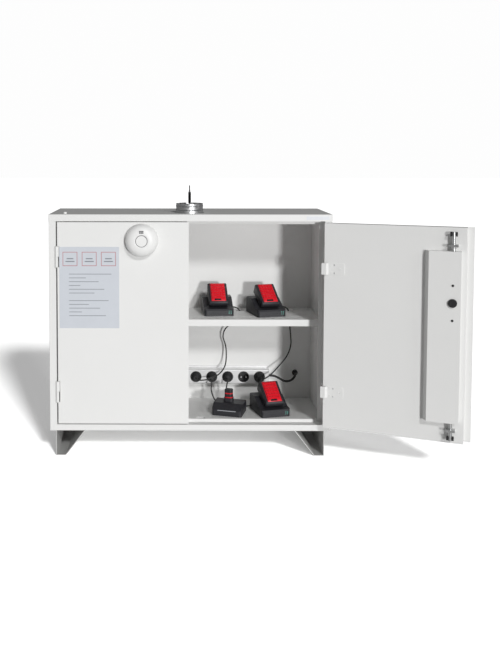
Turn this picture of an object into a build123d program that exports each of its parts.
from build123d import *
import os
from math import atan2, cos, radians, sin, tan

os.makedirs("parts", exist_ok=True)

# Steel charging cabinet for battery packs, in millimetres.
# Origin: on the floor, below the middle of the body's front plane.
# +X right, +Y from the front to the back, +Z up.

# ---- body ---------------------------------------------------------------
WIDTH = 1000.0           # body, outside
BODY_H = 775.0           # body without its feet
DEPTH = 312.0            # front plane to back face
FOOT_H = 92.0            # clearance under the body
LID_T = 24.0             # lid panel and lintel
LID_OVER = 1.0           # lid overhang at the sides and front
SIDE_T = 25.0            # double-skin side wall, and the stile it shows
BACK_T = 20.0
BASE_T = 22.0            # bottom rail
FLOOR_T = 11.0           # raised inner floor pan
EDGE_R = 1.5             # folded sheet edge

TOP = FOOT_H + BODY_H
OPEN_X = WIDTH / 2 - SIDE_T
OPEN_TOP = TOP - LID_T
OPEN_BOTTOM = FOOT_H + BASE_T
FLOOR_Z = OPEN_BOTTOM + FLOOR_T
BACK_Y = DEPTH - BACK_T

# ---- doors --------------------------------------------------------------
DOOR_GAP = 3.5           # gap above and below a door
SKIN_T = 2.0             # outer skin of a door
DOOR_Y = 29.0            # inner face of a closed door
HINGE_X = 472.0          # hinge axes
HINGE_Y = -3.0
HINGE_SETBACK = 2.0      # skin edge from the hinge axis
BOX_SETBACK = 6.0        # inner box edge from the hinge axis
LEFT_EDGE = -5.0         # free edge of the left door
RIGHT_EDGE = -24.0       # free edge of the right door's lip
MEET_GAP = 3.0           # right inner box from the left door's edge
LEFT_BOX_STEP = 5.0      # left inner box inside its skin
OPEN_ANGLE = 158.6       # the right door stands open by this

DOOR_TOP = OPEN_TOP - DOOR_GAP
DOOR_BOTTOM = OPEN_BOTTOM + DOOR_GAP

# ---- right door's lock --------------------------------------------------
BOX_X0 = LEFT_EDGE + MEET_GAP
LOCK_X = 41.0            # rods and lock from the inner box's free edge
LOCK_CX = BOX_X0 + LOCK_X
LOCK_Z = TOP - 275.0
COVER_FLANGE = 8.0       # folded channel over the lock: foot, front, slanted side
COVER_W = 102.0
COVER_SLANT = 14.0
COVER_D = 26.0
COVER_X0 = BOX_X0 + 16.0
COVER_TOP = TOP - 105.0
COVER_H = 571.0
ROD_D = 12.0
ROD_Y = DOOR_Y + 15.0
ROD_END = 13.0           # retracted rod end from the door's edge
GUIDE_TOP = 59.0         # rod guides from the door's ends
GUIDE_BOTTOM = 47.0
ROLLER_D = 15.0
ROLLER_W = 5.0
ROLLER_BACK = 8.0        # rollers' pin from the rod's end
ROD_SOCKET_X = 30.0      # hole in the floor for the lower rod
ROD_SOCKET_Y = 20.0

# ---- left door's flat bolts ----------------------------------------------
BOLT_X = -60.0
BOLT_W = 16.0
BOLT_T = 3.4
BOLT_Y = DOOR_Y + 0.3 + BOLT_T / 2
BOLT_L = 110.0
BOLT_END = 4.0           # bolt end from the door's edge
BOLT_TRAVEL = 14.0

# ---- stop flange --------------------------------------------------------
FLANGE_Y = 33.0          # face the doors close against
FLANGE_T = 2.0
FLANGE_SIDE = 16.0       # how far it stands out of each wall
FLANGE_TOP = 13.0

# ---- hinges -------------------------------------------------------------
KNUCKLE_D = 11.0
KNUCKLE_L = 36.8         # one knuckle; two make a hinge
KNUCKLE_GAP = 0.4
PIN_D = 5.0
PIN_PLAY = 0.05
LEAF_T = 3.0
HINGE_FROM_TOP = 150.0   # hinge centres from the ends of the body
HINGE_FROM_BOTTOM = 141.0
HINGE_Z = [FOOT_H + HINGE_FROM_BOTTOM, TOP - HINGE_FROM_TOP]

# ---- shelf --------------------------------------------------------------
SHELF_Z = 480.0          # top face
SHELF_Y = 66.0           # front edge
SHELF_LIP = 24.0
SHEET_T = 1.5
SHELF_PLAY = 0.3
SLOT_L = 20.0            # perforation
SLOT_W = 4.0
SLOT_PITCH = 29.0
SLOT_ROW = 17.0
CABLE_HOLE_R = 17.0
CABLE_HOLE_X = [-385.0, -196.0, 196.0, 385.0]
CABLE_HOLE_Y = 246.0
SUPPORT_PITCH = 56.5
SUPPORT_Y = [118.0, 236.0]

# ---- lid fittings -------------------------------------------------------
DUCT_R = 48.5            # spigot, outside
DUCT_T = 1.5
DUCT_H = 34.0
DUCT_X = -1.0
DUCT_Y = 88.0
DAMPER_H = 78.0          # spindle above the lid

# ---- socket strip -------------------------------------------------------
STRIP_Z = 192.0          # lower edge
STRIP_H = 54.0
STRIP_D = 40.0
STRIP_RIGHT = 310.0
STRIP_LEFT = -75.0
SOCKET_R = 21.5
SOCKET_PITCH = 61.3
SOCKET_LAST = 273.0
SOCKET_COUNT = 6


def write(part, label):
    """Name a finished piece and write it."""
    part.label = label
    export_step(part, f"parts/{label}.step")


def mirrored(part, side):
    """The piece itself on the right, or its mirror image on the left."""
    return part if side > 0 else mirror(part, about=Plane.YZ)


# ======================= body panels =====================================
with BuildPart() as lid:
    with BuildSketch(Plane.XY.offset(OPEN_TOP)):
        with Locations((0, (DEPTH - LID_OVER) / 2)):
            Rectangle(WIDTH + 2 * LID_OVER, DEPTH + LID_OVER)
    extrude(amount=LID_T)
    fillet(lid.edges().filter_by(Axis.Z), EDGE_R)
    fillet(lid.faces().sort_by(Axis.Z)[-1].edges(), EDGE_R)
    with Locations((DUCT_X, DUCT_Y, TOP)):
        Hole(DUCT_R - DUCT_T)
    with Locations((BOLT_X, BOLT_Y, OPEN_TOP)):
        Box(BOLT_W + 1, BOLT_T + 1, 2 * BOLT_TRAVEL, mode=Mode.SUBTRACT)
write(lid.part, "lid")

with BuildPart() as side_panel:
    with BuildSketch(Plane.XY.offset(FOOT_H)):
        with Locations((WIDTH / 2 - SIDE_T / 2, DEPTH / 2)):
            Rectangle(SIDE_T, DEPTH)
    extrude(amount=BODY_H - LID_T)
    fillet(side_panel.edges().filter_by(Axis.Z).group_by(Axis.X)[-1], EDGE_R)
    # keyhole slots for the shelf brackets, in the inner skin
    inner = Plane(origin=(OPEN_X, 0, SHELF_Z), x_dir=(0, 1, 0), z_dir=(-1, 0, 0))
    with BuildSketch(inner):
        for y in SUPPORT_Y:
            with Locations((y, 0)):
                with GridLocations(1, SUPPORT_PITCH, 1, 11):
                    SlotOverall(16, 4, rotation=90)
    extrude(amount=-6, mode=Mode.SUBTRACT)
    # recesses for the frame leaves of the hinges
    for z in HINGE_Z:
        with Locations((OPEN_X + LEAF_T / 2, 0, z)):
            Box(LEAF_T, 2 * 16, 2 * KNUCKLE_L + 2, mode=Mode.SUBTRACT)
write(side_panel.part, "side_right")
write(mirrored(side_panel.part, -1), "side_left")

with BuildPart() as back_wall:
    with BuildSketch(Plane.XZ.offset(-BACK_Y)):
        with Locations((0, (OPEN_BOTTOM + OPEN_TOP) / 2)):
            Rectangle(2 * OPEN_X, OPEN_TOP - OPEN_BOTTOM)
    extrude(amount=-BACK_T)
write(back_wall.part, "back_wall")

with BuildPart() as base:
    with BuildSketch(Plane.XY.offset(FOOT_H)):
        with Locations((0, DEPTH / 2)):
            Rectangle(2 * OPEN_X, DEPTH)
    extrude(amount=BASE_T)
    fillet(base.edges().filter_by(Axis.X).sort_by(Axis.Y)[:2], EDGE_R)
    with Locations((BOLT_X, BOLT_Y, OPEN_BOTTOM)):
        Box(BOLT_W + 1, BOLT_T + 1, 2 * BOLT_TRAVEL, mode=Mode.SUBTRACT)
    with Locations((LOCK_CX, ROD_Y, OPEN_BOTTOM)):
        Box(ROD_SOCKET_X, ROD_SOCKET_Y, 8, mode=Mode.SUBTRACT)
write(base.part, "base")

with BuildPart() as floor_pan:
    with BuildSketch(Plane.XY.offset(OPEN_BOTTOM)):
        with Locations((0, (FLANGE_Y + BACK_Y) / 2)):
            Rectangle(2 * OPEN_X, BACK_Y - FLANGE_Y)
    extrude(amount=FLOOR_T)
    fillet(floor_pan.edges().filter_by(Axis.X).group_by(Axis.Z)[-1].sort_by(Axis.Y)[0], 2 * EDGE_R)
    with Locations((LOCK_CX, ROD_Y, OPEN_BOTTOM)):
        Box(ROD_SOCKET_X, ROD_SOCKET_Y, 3 * FLOOR_T, mode=Mode.SUBTRACT)
write(floor_pan.part, "floor_pan")

with BuildPart() as stop_flanges:
    with BuildSketch(Plane.XZ.offset(-FLANGE_Y)):
        with Locations((0, OPEN_TOP - FLANGE_TOP / 2)):
            Rectangle(2 * OPEN_X, FLANGE_TOP)
        for side in (-1, 1):
            with Locations((side * (OPEN_X - FLANGE_SIDE / 2), (FLOOR_Z + OPEN_TOP) / 2)):
                Rectangle(FLANGE_SIDE, OPEN_TOP - FLOOR_Z)
    extrude(amount=-FLANGE_T)
write(stop_flanges.part, "stop_flanges")

# ======================= feet ============================================
FOOT_INSET = 20.0        # outer plate from the body's side
FOOT_BASE = 36.0
FOOT_RUN = 107.0         # outer plate to the top of the inclined plate
FOOT_DEPTH = 60.0
FOOT_T = 3.0
FOOT_SETBACK = 4.0

for row, y0 in (("front", FOOT_SETBACK), ("rear", DEPTH - FOOT_SETBACK - FOOT_DEPTH)):
    with BuildPart() as feet:
        x_out = WIDTH / 2 - FOOT_INSET
        x_in = x_out - FOOT_RUN
        with BuildSketch(Plane.XZ.offset(-y0)) as foot_profile:
            with BuildLine():
                outer = Polyline((x_out, FOOT_H), (x_out, 0), (x_out - FOOT_BASE, 0), (x_in, FOOT_H))
                offset(outer, FOOT_T, side=Side.RIGHT)
            make_face()
            with Locations((0, FOOT_H + 50)):
                Rectangle(3 * WIDTH, 100, mode=Mode.SUBTRACT)
        extrude(amount=-FOOT_DEPTH)
        with Locations((x_out - FOOT_BASE / 2, y0 + FOOT_DEPTH / 2, FOOT_T)):
            Hole(5.5, depth=2 * FOOT_T)
        mirror(about=Plane.YZ)
    write(feet.part, f"{row}_feet")

# ======================= hinges ==========================================
def knuckle(side, z_low, hole):
    """One rolled knuckle on a hinge axis, bored for its pin."""
    with BuildPart() as piece:
        with BuildSketch(Plane.XY.offset(z_low)):
            with Locations((side * HINGE_X, HINGE_Y)):
                Circle(KNUCKLE_D / 2)
                if hole:
                    Circle(PIN_D / 2 + PIN_PLAY, mode=Mode.SUBTRACT)
        extrude(amount=KNUCKLE_L)
    return piece.part


def frame_hinge(side, z_mid):
    """Lower knuckle with the pin in it and the leaf let into the stile."""
    low = z_mid - KNUCKLE_L - KNUCKLE_GAP / 2
    with BuildPart() as piece:
        add(knuckle(side, low, False))
        with Locations((side * HINGE_X, HINGE_Y, z_mid)):
            Cylinder(PIN_D / 2, 2 * KNUCKLE_L - 4, align=(Align.CENTER, Align.CENTER, Align.CENTER))
        with Locations((side * (OPEN_X + LEAF_T / 2), HINGE_Y, low)):
            Box(LEAF_T, 16 - HINGE_Y, KNUCKLE_L, align=(Align.CENTER, Align.MIN, Align.MIN))
    return piece.part


with BuildPart() as frame_knuckles:
    for side in (-1, 1):
        for z in HINGE_Z:
            add(frame_hinge(side, z))
write(frame_knuckles.part, "frame_hinges")


def door_knuckles(side):
    """Upper knuckles with a leaf that turns in behind the door's edge."""
    with BuildPart() as piece:
        for z in HINGE_Z:
            low = z + KNUCKLE_GAP / 2
            add(knuckle(side, low, True))
            with Locations((side * (HINGE_X - BOX_SETBACK), HINGE_Y, low)):
                Box(LEAF_T, 24, KNUCKLE_L, align=(Align.CENTER, Align.MIN, Align.MIN))
            with Locations((side * HINGE_X, HINGE_Y, low)):
                Cylinder(PIN_D / 2 + PIN_PLAY, KNUCKLE_L,
                         align=(Align.CENTER, Align.CENTER, Align.MIN), mode=Mode.SUBTRACT)
    return piece.part


# ======================= doors, modelled closed ===========================
def slab(x0, x1, y0, y1, z0, z1, radius):
    """A folded tray as a block with its upright edges rounded."""
    with BuildPart() as piece:
        with BuildSketch(Plane.XY.offset(z0)):
            with Locations(((x0 + x1) / 2, (y0 + y1) / 2)):
                Rectangle(x1 - x0, y1 - y0)
        extrude(amount=z1 - z0)
        fillet(piece.edges().filter_by(Axis.Z), radius)
    return piece.part


def hinge_notches(side):
    """Room in a door's edge for its knuckles and leaves."""
    with BuildPart() as piece:
        for z in HINGE_Z:
            with Locations((side * (HINGE_X - 3), HINGE_Y, z)):
                Box(12, 2 * 26, 2 * KNUCKLE_L + 2)
    return piece.part


HOOK_Z = [TOP - 186.0, FOOT_H + 154.0]
HOOK_H = 40.0
HOOK_T = 2.0
HOOK_TAB_Y = FLANGE_Y + FLANGE_T + 3.3
HOOK_TIP = OPEN_X - 2.0
HOOK_BEND = OPEN_X - FLANGE_SIDE - 2.0
HOOK_FLAT = 62.0


def hook_plates(side):
    """Z-bent plates whose tabs reach behind the stop flange."""
    with BuildPart() as piece:
        for z in HOOK_Z:
            with BuildSketch(Plane.XY.offset(z - HOOK_H / 2)):
                with BuildLine():
                    path = Polyline((HOOK_TIP, HOOK_TAB_Y + HOOK_T), (HOOK_BEND, HOOK_TAB_Y + HOOK_T),
                                    (HOOK_BEND - 6, DOOR_Y + HOOK_T), (HOOK_BEND - HOOK_FLAT, DOOR_Y + HOOK_T))
                    back = Polyline((HOOK_TIP, HOOK_TAB_Y), (HOOK_BEND - 0.8, HOOK_TAB_Y),
                                    (HOOK_BEND - 6.8, DOOR_Y), (HOOK_BEND - HOOK_FLAT, DOOR_Y))
                    Line(path @ 0, back @ 0)
                    Line(path @ 1, back @ 1)
                make_face()
            extrude(amount=HOOK_H)
            fillet(piece.edges().filter_by(Axis.Y).group_by(Axis.X)[0], 6)
            for dx, dz in ((-16, 13), (-16, -13), (-46, 0)):
                with BuildSketch(Plane.XZ.offset(-DOOR_Y - HOOK_T)):
                    with Locations((HOOK_BEND + dx, z + dz)):
                        Circle(4)
                extrude(amount=-1.2)
    return mirrored(piece.part, side)


with BuildPart() as left_skin:
    add(slab(-HINGE_X + HINGE_SETBACK, LEFT_EDGE, 0, SKIN_T, DOOR_BOTTOM, DOOR_TOP, 0.6))
    add(hinge_notches(-1), mode=Mode.SUBTRACT)
write(left_skin.part, "left_door_skin")

with BuildPart() as left_box:
    add(slab(-HINGE_X + BOX_SETBACK, LEFT_EDGE - LEFT_BOX_STEP, SKIN_T, DOOR_Y, DOOR_BOTTOM, DOOR_TOP, EDGE_R))
    add(hinge_notches(-1), mode=Mode.SUBTRACT)
    # guides of the two flat bolts, on the inner face
    for z in (DOOR_TOP - 28, DOOR_TOP - 88, DOOR_BOTTOM + 28, DOOR_BOTTOM + 88):
        with Locations((BOLT_X, DOOR_Y, z)):
            Box(BOLT_W + 14, BOLT_T + 2.6, 10, align=(Align.CENTER, Align.MIN, Align.CENTER))
            Box(BOLT_W + 0.6, BOLT_T + 0.6, 10, align=(Align.CENTER, Align.MIN, Align.CENTER), mode=Mode.SUBTRACT)
write(left_box.part, "left_door_box")
write(door_knuckles(-1), "left_door_hinges")
write(hook_plates(-1), "left_hook_plates")

for name, z, way in (("top", DOOR_TOP - BOLT_END, -1), ("bottom", DOOR_BOTTOM + BOLT_END, 1)):
    with BuildPart() as bolt:
        with Locations((BOLT_X, BOLT_Y, z + way * BOLT_L / 2)):
            Box(BOLT_W, BOLT_T, BOLT_L)
        with Locations((BOLT_X, BOLT_Y + BOLT_T / 2, z + way * BOLT_L / 2)):
            Box(10, 12, 8, align=(Align.CENTER, Align.MIN, Align.CENTER))
    write(bolt.part, f"left_bolt_{name}")

# ---- right door: built closed, then swung open ---------------------------
hinge_line = Axis((HINGE_X, HINGE_Y, 0), (0, 0, 1))


def swung(part):
    """Turn a piece of the right door to where the door stands open."""
    return part.rotate(hinge_line, OPEN_ANGLE)


BOX_X1 = HINGE_X - BOX_SETBACK

with BuildPart() as right_skin:
    add(slab(RIGHT_EDGE, HINGE_X - HINGE_SETBACK, -SKIN_T, 0, DOOR_BOTTOM, DOOR_TOP, 0.6))
    add(hinge_notches(1), mode=Mode.SUBTRACT)
    with BuildSketch(Plane.XZ.offset(SKIN_T)):
        with Locations((LOCK_CX, LOCK_Z)):
            Circle(10)
    extrude(amount=-SKIN_T, mode=Mode.SUBTRACT)
write(swung(right_skin.part), "right_door_skin")

with BuildPart() as right_box:
    add(slab(BOX_X0, BOX_X1, 0, DOOR_Y, DOOR_BOTTOM, DOOR_TOP, EDGE_R))
    add(hinge_notches(1), mode=Mode.SUBTRACT)
    with BuildSketch(Plane.XZ):
        with Locations((LOCK_CX, LOCK_Z)):
            Circle(10)
    extrude(amount=-DOOR_Y, mode=Mode.SUBTRACT)
write(swung(right_box.part), "right_door_box")
write(swung(door_knuckles(1)), "right_door_hinges")
write(swung(hook_plates(1)), "right_hook_plates")

with BuildPart() as lock_cover:
    with BuildSketch(Plane.XY.offset(COVER_TOP - COVER_H)):
        with BuildLine():
            foot = COVER_X0 - COVER_FLANGE
            outline = Polyline((foot, DOOR_Y + SHEET_T), (COVER_X0, DOOR_Y + SHEET_T),
                               (COVER_X0, DOOR_Y + COVER_D), (COVER_X0 + COVER_W, DOOR_Y + COVER_D),
                               (COVER_X0 + COVER_W + COVER_SLANT, DOOR_Y))
            inside = Polyline((foot, DOOR_Y), (COVER_X0 + SHEET_T, DOOR_Y),
                              (COVER_X0 + SHEET_T, DOOR_Y + COVER_D - SHEET_T),
                              (COVER_X0 + COVER_W - 1, DOOR_Y + COVER_D - SHEET_T),
                              (COVER_X0 + COVER_W + COVER_SLANT - 2, DOOR_Y))
            Line(outline @ 0, inside @ 0)
            Line(outline @ 1, inside @ 1)
        make_face()
    extrude(amount=COVER_H)
    for z in (COVER_TOP - SHEET_T, COVER_TOP - COVER_H):
        with BuildSketch(Plane.XY.offset(z)):
            with BuildLine():
                Polyline((COVER_X0, DOOR_Y), (COVER_X0, DOOR_Y + COVER_D),
                         (COVER_X0 + COVER_W, DOOR_Y + COVER_D),
                         (COVER_X0 + COVER_W + COVER_SLANT, DOOR_Y), close=True)
            make_face()
        extrude(amount=SHEET_T)
    # clear of the rods at both ends and of the lock's boss
    with BuildSketch(Plane.XY.offset(COVER_TOP - COVER_H - 1)):
        with Locations((LOCK_CX, ROD_Y)):
            Circle(ROD_D / 2 + 0.5)
    extrude(amount=COVER_H + 2, mode=Mode.SUBTRACT)
    with BuildSketch(Plane.XZ.offset(-DOOR_Y - COVER_D / 2)):
        with Locations((LOCK_CX, LOCK_Z)):
            Circle(14.3)
    extrude(amount=-COVER_D, mode=Mode.SUBTRACT)
write(swung(lock_cover.part), "lock_cover")

with BuildPart() as lock_boss:
    # turned boss that carries the spindle, seated on the door's inner face
    with BuildSketch(Plane.XZ.offset(-DOOR_Y)):
        with Locations((LOCK_CX, LOCK_Z)):
            Circle(14)
            Circle(5.1, mode=Mode.SUBTRACT)
    extrude(amount=-8)
    with BuildSketch(Plane.XZ.offset(-DOOR_Y - 22)):
        with Locations((LOCK_CX, LOCK_Z)):
            Circle(14)
            Circle(5.1, mode=Mode.SUBTRACT)
    extrude(amount=-10)
    for dz in (-11.5, 11.5):
        with BuildSketch(Plane.XZ.offset(-DOOR_Y - 8)):
            with Locations((LOCK_CX, LOCK_Z + dz)):
                Circle(2)
        extrude(amount=-14)
    fillet(lock_boss.faces().sort_by(Axis.Y)[-1].edges(), 1)
write(swung(lock_boss.part), "lock_boss")

with BuildPart() as rod_guides:
    for z in (DOOR_TOP - GUIDE_TOP, DOOR_BOTTOM + GUIDE_BOTTOM):
        with Locations((LOCK_CX, DOOR_Y, z)):
            Box(30, ROD_Y - DOOR_Y + 10, 8, align=(Align.CENTER, Align.MIN, Align.CENTER))
        with BuildSketch(Plane.XY.offset(z - 10)):
            with Locations((LOCK_CX, ROD_Y)):
                Circle(ROD_D / 2 + 0.05)
        extrude(amount=20, mode=Mode.SUBTRACT)
write(swung(rod_guides.part), "rod_guides")

ROD_LIMITS = (("top", DOOR_TOP - ROD_END, LOCK_Z + 26, 1), ("bottom", DOOR_BOTTOM + ROD_END, LOCK_Z - 26, -1))
for name, z_end, z_lock, way in ROD_LIMITS:
    with BuildPart() as rod:
        with BuildSketch(Plane.XY.offset(min(z_end, z_lock))):
            with Locations((LOCK_CX, ROD_Y)):
                Circle(ROD_D / 2)
        extrude(amount=abs(z_end - z_lock))
        # cross pin that carries the two rollers
        with Locations((LOCK_CX, ROD_Y, z_end - way * ROLLER_BACK)):
            Cylinder(2, 2 * ROLLER_W + ROD_D + 3, rotation=(0, 90, 0))
    write(swung(rod.part), f"rod_{name}")
    with BuildPart() as rollers:
        for side in (-1, 1):
            with Locations((LOCK_CX + side * (ROD_D / 2 + 0.5 + ROLLER_W / 2), ROD_Y, z_end - way * ROLLER_BACK)):
                Cylinder(ROLLER_D / 2, ROLLER_W, rotation=(0, 90, 0))
                Cylinder(2.05, ROLLER_W, rotation=(0, 90, 0), mode=Mode.SUBTRACT)
    write(swung(rollers.part), f"rollers_{name}")

# ---- handle outside, its escutcheon, spindle and cam ----------------------
ESC_T = 5.0
with BuildPart() as escutcheon:
    with BuildSketch(Plane.XZ.offset(SKIN_T)):
        with Locations((LOCK_CX, LOCK_Z)):
            SlotOverall(150, 34, rotation=90)
            Circle(5.1, mode=Mode.SUBTRACT)
    extrude(amount=ESC_T)
    fillet(escutcheon.faces().sort_by(Axis.Y)[0].outer_wire().edges(), 1.5)
    with BuildSketch(Plane.XZ.offset(SKIN_T)):
        with Locations((LOCK_CX, LOCK_Z + 45)):
            Circle(8.1)
    extrude(amount=ESC_T, mode=Mode.SUBTRACT)
write(swung(escutcheon.part), "escutcheon")

with BuildPart() as key_plug:
    with BuildSketch(Plane.XZ.offset(SKIN_T)):
        with Locations((LOCK_CX, LOCK_Z + 45)):
            Circle(8.05)
    extrude(amount=ESC_T + 1)
    with Locations((LOCK_CX, -SKIN_T - ESC_T - 1, LOCK_Z + 45)):
        Box(1.2, 3, 8, mode=Mode.SUBTRACT)
write(swung(key_plug.part), "key_plug")

with BuildPart() as handle:
    with BuildSketch(Plane.XZ.offset(SKIN_T + ESC_T + 0.3)):
        with Locations((LOCK_CX, LOCK_Z)):
            Circle(14)
    extrude(amount=14)
    with BuildSketch(Plane.XZ.offset(SKIN_T + ESC_T + 14.3)):
        with Locations((LOCK_CX, LOCK_Z - 44)):
            SlotOverall(116, 24, rotation=90)
    extrude(amount=10)
    fillet(handle.faces().sort_by(Axis.Y)[0].edges(), 3)
    # spindle through the door to the cam
    with BuildSketch(Plane.XZ.offset(SKIN_T + ESC_T + 0.3)):
        with Locations((LOCK_CX, LOCK_Z)):
            Circle(5.05)
    extrude(amount=-(SKIN_T + ESC_T + 0.3 + DOOR_Y + 32))
write(swung(handle.part), "handle")

with BuildPart() as lock_cam:
    with BuildSketch(Plane.XZ.offset(-DOOR_Y - 8.5)):
        with Locations((LOCK_CX, LOCK_Z)):
            Circle(8)
            Circle(5.05, mode=Mode.SUBTRACT)
    extrude(amount=-13)
write(swung(lock_cam.part), "lock_cam")

# ======================= smoke detector on the left door ==================
DET_X = -171.0
DET_Z = TOP - 91.0
DET_R = 58.0
with BuildPart() as detector:
    with BuildSketch(Plane.YZ.offset(DET_X)) as dome_profile:
        with BuildLine():
            Polyline((0, DET_Z), (0, DET_Z + DET_R - 4), (-8, DET_Z + DET_R - 4), (-8, DET_Z + DET_R))
            Line((-8, DET_Z + DET_R), (-20, DET_Z + DET_R))
            TangentArc((-20, DET_Z + DET_R), (-36, DET_Z + DET_R - 20), tangent=(-1, 0))
            Spline((-36, DET_Z + DET_R - 20), (-42, DET_Z + 20.5), tangents=((-0.55, -1), (0, -1)))
            Polyline((-42, DET_Z + 20.5), (-38, DET_Z + 20.5), (-38, DET_Z), (0, DET_Z))
        make_face()
    revolve(axis=Axis((DET_X, 0, DET_Z), (0, 1, 0)))
write(detector.part, "smoke_detector")

with BuildPart() as test_button:
    with BuildSketch(Plane.XZ.offset(39)):
        with Locations((DET_X, DET_Z)):
            Circle(20)
    extrude(amount=4)
    fillet(test_button.faces().sort_by(Axis.Y)[0].edges(), 2)
write(test_button.part, "test_button")

# ======================= shelf ===========================================
with BuildPart() as shelf:
    x_half = OPEN_X - SHELF_PLAY
    with BuildSketch(Plane.XY.offset(SHELF_Z - SHEET_T)):
        with Locations((0, (SHELF_Y + BACK_Y - SHELF_PLAY) / 2)):
            Rectangle(2 * x_half, BACK_Y - SHELF_PLAY - SHELF_Y)
    extrude(amount=SHEET_T)
    for y in (SHELF_Y, BACK_Y - SHELF_PLAY - SHEET_T):
        with Locations((0, y, SHELF_Z)):
            Box(2 * x_half, SHEET_T, SHELF_LIP, align=(Align.CENTER, Align.MIN, Align.MAX))
    with Locations((0, SHELF_Y, SHELF_Z - SHELF_LIP)):
        Box(2 * x_half, 14, SHEET_T, align=(Align.CENTER, Align.MIN, Align.MIN))
    with BuildSketch(Plane.XY.offset(SHELF_Z)):
        for row in range(3):
            shift = SLOT_PITCH / 2 * (row % 2)
            count = 31 - row % 2
            with Locations((0, SHELF_Y + 26 + row * SLOT_ROW)):
                with GridLocations(SLOT_PITCH, 1, count, 1):
                    SlotOverall(SLOT_L, SLOT_W)
        for x in CABLE_HOLE_X:
            with Locations((x, CABLE_HOLE_Y)):
                Circle(CABLE_HOLE_R)
    extrude(amount=-2 * SHEET_T, mode=Mode.SUBTRACT)
write(shelf.part, "shelf")

with BuildPart() as shelf_brackets:
    for side in (-1, 1):
        for y in SUPPORT_Y:
            x_wall = side * OPEN_X
            with Locations((x_wall - side * 8, y, SHELF_Z - SHEET_T)):
                Box(16, 26, SHEET_T, align=(Align.CENTER, Align.CENTER, Align.MAX))
            with Locations((x_wall - side * 1, y, SHELF_Z - SHEET_T)):
                Box(2, 26, 34, align=(Align.CENTER, Align.CENTER, Align.MAX))
write(shelf_brackets.part, "shelf_brackets")

# ======================= duct spigot and fire damper ======================
with BuildPart() as spigot:
    with BuildSketch(Plane.XZ.offset(-DUCT_Y)):
        with BuildLine():
            r0 = DUCT_X + DUCT_R
            wall = Polyline((r0 + 0.0, TOP), (r0, TOP + 9), (r0 + 2, TOP + 11), (r0, TOP + 13),
                            (r0, TOP + 22), (r0 + 2, TOP + 24), (r0, TOP + 26), (r0, TOP + DUCT_H))
            back = Polyline((r0 - DUCT_T, TOP), (r0 - DUCT_T, TOP + DUCT_H))
            Line(wall @ 0, back @ 0)
            Line(wall @ 1, back @ 1)
        make_face()
        with Locations((r0 + 1.5, TOP + 0.75)):
            Rectangle(6, 1.5)
    revolve(axis=Axis((DUCT_X, DUCT_Y, 0), (0, 0, 1)))
write(spigot.part, "duct_spigot")

with BuildPart() as damper_cage:
    # bridge across the spigot with two uprights and the spindle
    with Locations((DUCT_X, DUCT_Y, TOP + DUCT_H - 6)):
        Box(2 * (DUCT_R - DUCT_T) - 0.6, 15.6, 4)
    for dy in (-7, 7):
        with Locations((DUCT_X, DUCT_Y + dy, TOP + DUCT_H - 6)):
            Box(5, 1.6, DAMPER_H - DUCT_H + 10, align=(Align.CENTER, Align.CENTER, Align.MIN))
    with Locations((DUCT_X, DUCT_Y, TOP + DUCT_H)):
        Box(5, 15.6, 2)
    with Locations((DUCT_X, DUCT_Y, TOP + DAMPER_H)):
        Box(5, 15.6, 2, align=(Align.CENTER, Align.CENTER, Align.MAX))
    with Locations((DUCT_X, DUCT_Y, TOP + DAMPER_H - 1)):
        Cylinder(2, 22, align=(Align.CENTER, Align.CENTER, Align.MIN))
write(damper_cage.part, "damper_cage")

BLADE_H = 38.0
BLADE_T = 1.2
for name, side in (("left", -1), ("right", 1)):
    with BuildPart() as blade:
        plane = Plane(origin=(DUCT_X + side * 3.2, DUCT_Y, TOP + DUCT_H + 2), x_dir=(0, 1, 0), z_dir=(1, 0, 0))
        with BuildSketch(plane):
            with Locations((0, BLADE_H / 2)):
                Circle(34)
            with Locations((0, BLADE_H / 2 - 50)):
                Rectangle(100, 100 - BLADE_H, mode=Mode.SUBTRACT)
            with Locations((0, BLADE_H + 40)):
                Rectangle(100, 80, mode=Mode.SUBTRACT)
        extrude(amount=side * BLADE_T)
    write(blade.part, f"damper_blade_{name}")

with BuildPart() as lid_plug:
    with BuildSketch(Plane.XY.offset(TOP)):
        with Locations((-446, 40)):
            Circle(6.3)
    extrude(amount=6)
    fillet(lid_plug.faces().sort_by(Axis.Z)[-1].edges(), 1.5)
write(lid_plug.part, "lid_plug")

# ======================= socket strip ====================================
SOCKET_X = [SOCKET_LAST - SOCKET_PITCH * i for i in range(SOCKET_COUNT)]
STRIP_Y = BACK_Y - STRIP_D
SOCKET_Z = STRIP_Z + STRIP_H / 2
with BuildPart() as socket_profile:
    with BuildSketch(Plane.YZ.offset(STRIP_LEFT)):
        with Locations((STRIP_Y + STRIP_D / 2, SOCKET_Z)):
            Rectangle(STRIP_D, STRIP_H)
        with Locations((BACK_Y - 1.5, SOCKET_Z + 8)):
            Rectangle(3, STRIP_H)
    extrude(amount=STRIP_RIGHT - STRIP_LEFT)
    fillet(socket_profile.edges().filter_by(Axis.X).group_by(Axis.Y)[0], 3)
    with BuildSketch(Plane.XZ.offset(-STRIP_Y)):
        with Locations(*[(x, SOCKET_Z) for x in SOCKET_X]):
            Circle(SOCKET_R)
    extrude(amount=-20, mode=Mode.SUBTRACT)
write(socket_profile.part, "socket_strip")

with BuildPart() as sockets:
    with BuildSketch(Plane.XZ.offset(-STRIP_Y)):
        with Locations(*[(x, SOCKET_Z) for x in SOCKET_X]):
            Circle(SOCKET_R)
    extrude(amount=-20)
    with BuildSketch(Plane.XZ.offset(-STRIP_Y)):
        with Locations(*[(x, SOCKET_Z) for x in SOCKET_X]):
            Circle(SOCKET_R - 2.5)
    extrude(amount=-15, mode=Mode.SUBTRACT)
write(sockets.part, "socket_inserts")

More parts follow.
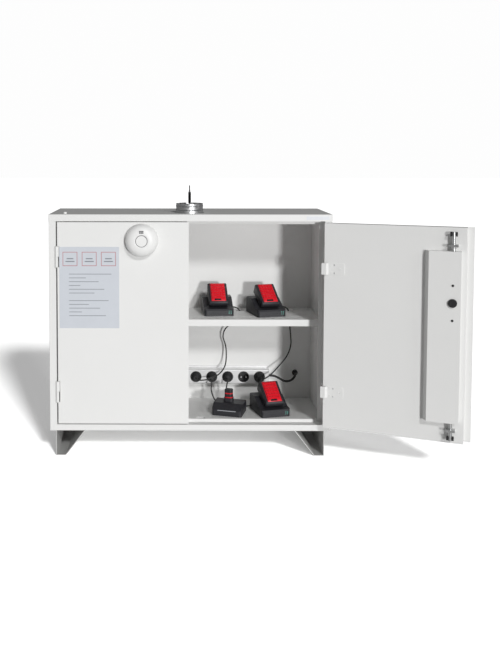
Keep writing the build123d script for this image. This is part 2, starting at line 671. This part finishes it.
SUPPLY_X = 415.0
SUPPLY_Z = 226.0
with BuildPart() as grommet:
    with BuildSketch(Plane.XZ.offset(-BACK_Y)):
        with Locations((SUPPLY_X, SUPPLY_Z)):
            Circle(11)
    extrude(amount=5)
    fillet(grommet.faces().sort_by(Axis.Y)[0].edges(), 2)
write(grommet.part, "cable_grommet")

# ======================= chargers and packs ===============================
CHARGER_W = 110.0
CHARGER_D = 142.0
PACK_W = 64.0
PACK_L = 92.0
PACK_H = 44.0
PACK_LIFT = 0.3


def local_plane(x, y, z, turn):
    """Plane on a charger's base, its x along the front, its z up."""
    return Plane(origin=(x, y, z), x_dir=(cos(radians(turn)), sin(radians(turn)), 0), z_dir=(0, 0, 1))


def charger_housing(at, height):
    """Moulded housing: side profile extruded, its corners rounded."""
    side_plane = Plane(origin=at.origin - at.x_dir * CHARGER_W / 2, x_dir=at.y_dir, z_dir=at.x_dir)
    with BuildPart() as piece:
        with BuildSketch(side_plane):
            with BuildLine():
                Polyline((0, 0), (CHARGER_D, 0), (CHARGER_D, height * 0.75), (CHARGER_D - 14, height),
                         (CHARGER_D - 62, height), (30, 30), (4, 26), (0, 20), close=True)
            make_face()
        extrude(amount=CHARGER_W)
        fillet(piece.edges().filter_by(Axis.Z), 10)
        # sunk window for the display at the front
        front = Plane(origin=at.origin, x_dir=at.x_dir, z_dir=-at.y_dir)
        with BuildSketch(front):
            with Locations((0, 12)):
                RectangleRounded(52, 10, 3)
        extrude(amount=-1.5, mode=Mode.SUBTRACT)
    return piece.part


def pack_plane(at, height):
    """Plane of the slope on which a pack sits, x across, y up the slope."""
    y0, z0 = 30.0, 30.0
    y1, z1 = CHARGER_D - 62, height
    rise = atan2(z1 - z0, y1 - y0)
    normal = at.z_dir * cos(rise) - at.y_dir * sin(rise)
    origin = at.origin + at.y_dir * y0 + at.z_dir * z0 + normal * PACK_LIFT
    return Plane(origin=origin, x_dir=at.x_dir, z_dir=normal)


def pack_case(plane):
    """Slide-on pack: a block with chamfered shoulders."""
    with BuildPart() as piece:
        with BuildSketch(plane):
            with Locations((0, PACK_L / 2)):
                RectangleRounded(PACK_W, PACK_L, 8)
        extrude(amount=PACK_H - 12)
        with BuildSketch(plane.offset(PACK_H - 12)):
            with Locations((0, PACK_L / 2)):
                RectangleRounded(PACK_W, PACK_L, 8)
        extrude(amount=8, taper=25)
    return piece.part


def pack_face(plane):
    """Red end plate with rows of small raised teeth."""
    with BuildPart() as piece:
        with BuildSketch(plane.offset(PACK_H - 4)):
            with Locations((0, PACK_L / 2)):
                RectangleRounded(PACK_W - 16, PACK_L - 14, 5)
        extrude(amount=2.5)
        with BuildSketch(plane.offset(PACK_H - 1.5)):
            with Locations((0, PACK_L / 2 + 6)):
                with GridLocations(8.4, 13, 5, 5):
                    Rectangle(5.4, 8)
        extrude(amount=2.5, taper=14)
    return piece.part


PACK_CHARGERS = (
    ("upper_left", 110.0, 128.0, SHELF_Z, 3.0, 58.0),
    ("upper_right", 304.0, 112.0, SHELF_Z, 14.0, 58.0),
    ("lower_right", 314.0, 52.0, FLOOR_Z, 14.0, 58.0),
)
for name, x, y, z, turn, height in PACK_CHARGERS:
    at = local_plane(x, y, z, turn)
    write(charger_housing(at, height), f"charger_{name}")
    slope = pack_plane(at, height)
    write(pack_case(slope), f"pack_{name}")
    write(pack_face(slope), f"pack_face_{name}")

# slim charger with an upright stick pack
stick_at = local_plane(134.0, 60.0, FLOOR_Z, -16.0)
STICK_H = 40.0
with BuildPart() as stick_charger:
    side_plane = Plane(origin=stick_at.origin - stick_at.x_dir * CHARGER_W / 2, x_dir=stick_at.y_dir, z_dir=stick_at.x_dir)
    with BuildSketch(side_plane):
        with BuildLine():
            Polyline((0, 0), (100, 0), (100, 30), (90, STICK_H), (30, STICK_H), (6, 26), (0, 20), close=True)
        make_face()
    extrude(amount=CHARGER_W)
    fillet(stick_charger.edges().filter_by(Axis.Z), 8)
    with BuildSketch(stick_at.offset(STICK_H)):
        with Locations((-4, 58)):
            RectangleRounded(34, 30, 8)
    extrude(amount=14)
    with BuildSketch(stick_at.offset(STICK_H + 14)):
        with Locations((-4, 58)):
            Circle(11.05)
    extrude(amount=-30, mode=Mode.SUBTRACT)
write(stick_charger.part, "charger_lower_left")

with BuildPart() as stick_pack:
    with BuildSketch(stick_at.offset(STICK_H - 16 + 0.3)):
        with Locations((-4, 58)):
            Circle(11)
    extrude(amount=30)
    with BuildSketch(stick_at.offset(STICK_H + 14.3)):
        with Locations((-4, 58)):
            RectangleRounded(30, 26, 9)
    extrude(amount=32)
    fillet(stick_pack.faces().sort_by(Axis.Z)[-1].edges(), 4)
write(stick_pack.part, "pack_lower_left")

# ======================= cords ============================================
CORD_D = 5.0
SUPPLY_D = 8.5
PLUG_R = 18.0
PLUG_FRONT = STRIP_Y - 18.0
PLUGGED = {"upper_left": SOCKET_X[4], "lower_right": SOCKET_X[3], "lower_left": SOCKET_X[2], "upper_right": SOCKET_X[0]}

with BuildPart() as mains_plugs:
    for x in PLUGGED.values():
        with BuildSketch(Plane.XZ.offset(-STRIP_Y - 15)):
            with Locations((x, SOCKET_Z)):
                Circle(PLUG_R)
        extrude(amount=22)
        with BuildSketch(Plane.XZ.offset(-STRIP_Y + 7)):
            with Locations((x, SOCKET_Z)):
                Circle(PLUG_R)
        extrude(amount=11, taper=42)
write(mains_plugs.part, "mains_plugs")


def cord(points, diameter, label):
    """A round cord along straight runs joined by arcs as large as the runs allow."""
    places = [Vector(*point) for point in points]
    runs = [b - a for a, b in zip(places, places[1:])]
    radii = []
    for before, after in zip(runs, runs[1:]):
        half = radians(before.get_angle(after)) / 2
        radii.append(0.45 * min(before.length, after.length) / tan(half))
    with BuildPart() as piece:
        with BuildLine() as route:
            FilletPolyline(*places, radius=radii)
        with BuildSketch(Plane(origin=places[0], z_dir=runs[0])):
            Circle(diameter / 2)
        sweep(path=route.wires()[0])
    write(piece.part, label)


def plug_end(name):
    """Where a cord meets its plug, and one point straight out of it."""
    x = PLUGGED[name]
    return [(x, PLUG_FRONT - 18, SOCKET_Z), (x, PLUG_FRONT, SOCKET_Z)]


def charger_exit(at, x, y, z, way):
    """Cord exit on a charger's face, and one point straight out of it."""
    start = at.origin + at.x_dir * x + at.y_dir * y + at.z_dir * z
    return [tuple(start), tuple(start + way * 16)]


CHARGER_AT = {name: local_plane(x, y, z, turn) for name, x, y, z, turn, height in PACK_CHARGERS}
at = CHARGER_AT["upper_left"]
cord(charger_exit(at, CHARGER_W / 2, 122, 12, at.x_dir) + [
    (194, 253, 483), (199, 250, 464), (186, 252, 436), (158, 262, 402), (146, 266, 358), (147, 262, 312),
    (142, 246, 272), (118, 226, 240), (82, 210, 223), (48, 203, 217)] + plug_end("upper_left"), CORD_D, "cord_upper_left")
at = CHARGER_AT["upper_right"]
cord(charger_exit(at, CHARGER_W / 2, 118, 12, at.x_dir) + [
    (366, 254, 494), (383, 253, 481), (388, 252, 458), (388, 256, 424), (394, 264, 382), (397, 268, 338),
    (382, 264, 298), (350, 246, 266), (318, 222, 240), (292, 206, 225)] + plug_end("upper_right"), CORD_D, "cord_upper_right")
cord(charger_exit(stick_at, 0, 100, 12, stick_at.y_dir) + [
    (164, 190, 140), (152, 202, 152), (143, 208, 174), (143, 206, 198), (148, 206, 213)] + plug_end("lower_left"),
     CORD_D, "cord_lower_left")
at = CHARGER_AT["lower_right"]
cord(charger_exit(at, -CHARGER_W / 2, 118, 12, -at.x_dir) + [
    (196, 152, 131), (176, 166, 129), (152, 174, 129), (126, 172, 130), (104, 180, 140), (90, 194, 160),
    (84, 202, 184), (86, 204, 206)] + plug_end("lower_right"), CORD_D, "cord_lower_right")
cord([(STRIP_RIGHT, 272, SOCKET_Z), (330, 272, SOCKET_Z), (350, 270, 210), (368, 266, 199), (388, 262, 199), (404, 260, 208),
      (SUPPLY_X, 264, SUPPLY_Z), (SUPPLY_X, BACK_Y - 5, SUPPLY_Z)], SUPPLY_D, "supply_cable")
print("parts written")
